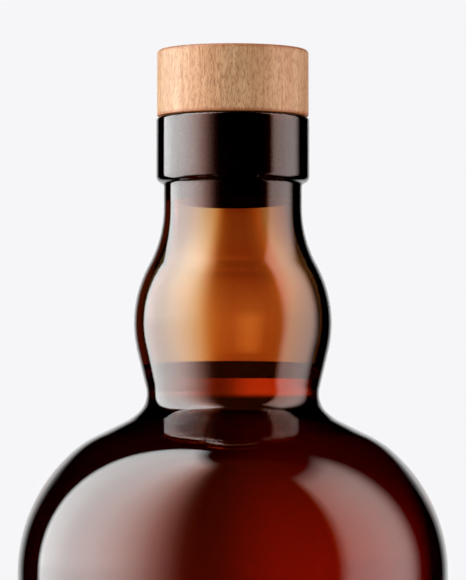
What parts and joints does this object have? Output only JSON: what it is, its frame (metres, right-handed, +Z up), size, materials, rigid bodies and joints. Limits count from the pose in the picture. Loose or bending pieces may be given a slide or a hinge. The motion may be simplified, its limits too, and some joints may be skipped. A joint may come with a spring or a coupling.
{
  "type": "aftershave bottle",
  "caption": "Round-shouldered amber glass bottle with a bulb-shaped neck and a bar-top stopper: turned beech head on a black push-in shank, filled with amber aftershave.",
  "frame": {"origin": "centre of the base, on the plane of the bearing ring the bottle stands on", "axes": "+Z up along the bottle's axis of revolution, towards the stopper; X and Y across"},
  "size_m": [0.0598, 0.0598, 0.15],
  "materials": {
    "amber_glass": "gloss",
    "liquid": "gloss",
    "beech": "fine sanded, waxed",
    "shank": "smooth moulded",
    "glue": "clear cured"
  },
  "bodies": {
    "bottle": {"glass_bottle": "amber_glass", "aftershave_liquid": "liquid"},
    "stopper": {"stopper_head": "beech", "stopper_shank": "shank", "adhesive_film": "glue"}
  },
  "joints": [
    {"name": "stopper_lift", "type": "slide", "parent": "bottle", "child": "stopper", "axis": [0, 0, 1], "range_m": [0, 0.045]}
  ]
}
